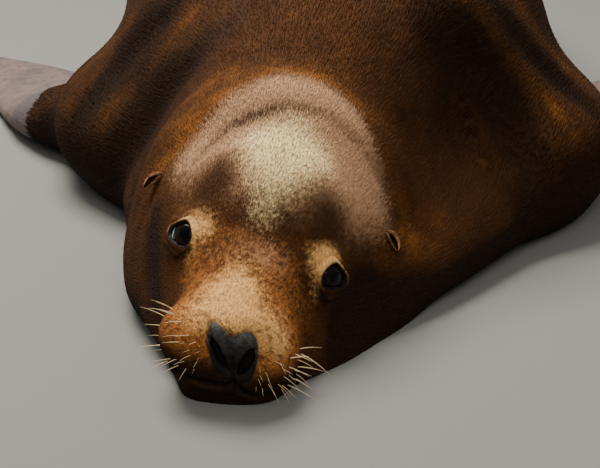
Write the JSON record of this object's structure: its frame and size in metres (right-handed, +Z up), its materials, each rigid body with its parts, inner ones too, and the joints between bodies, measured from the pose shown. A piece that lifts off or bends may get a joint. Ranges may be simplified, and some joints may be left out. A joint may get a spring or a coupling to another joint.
{
  "type": "sea lion",
  "caption": "Life-size still model of an adult male California sea lion lying prone, chin on the floor, foreflippers out to the sides, for museum-type display.",
  "frame": {"origin": "on the floor under the belly, on the body's long axis, at the middle of the flat of the trunk that rests on the floor", "axes": "+X is the animal's left, +Y runs from the head to the tail, so the animal faces -Y, and +Z is up from the floor"},
  "size_m": [1.3093, 2.3286, 0.4169],
  "materials": {
    "fur": "short flat brown fur over skin, slightly sleek",
    "bare_skin": "bare wrinkled grey-pink skin, satin",
    "eye": "wet dark brown eyeball, high gloss",
    "claw": "dark horn, half gloss"
  },
  "bodies": {
    "root": {"head": "fur", "neck": "fur", "chest": "fur", "trunk": "fur", "loin": "fur", "rump": "fur", "tail": "fur", "ear_right": "fur", "ear_left": "fur", "forearm_right": "fur", "forearm_left": "fur", "flipper_right": "bare_skin", "flipper_left": "bare_skin", "hind_flipper_right": "bare_skin", "hind_flipper_left": "bare_skin", "eye_right": "eye", "eye_left": "eye", "claw_right_1": "claw", "claw_right_2": "claw", "claw_right_3": "claw", "claw_left_1": "claw", "claw_left_2": "claw", "claw_left_3": "claw"}
  },
  "joints": []
}
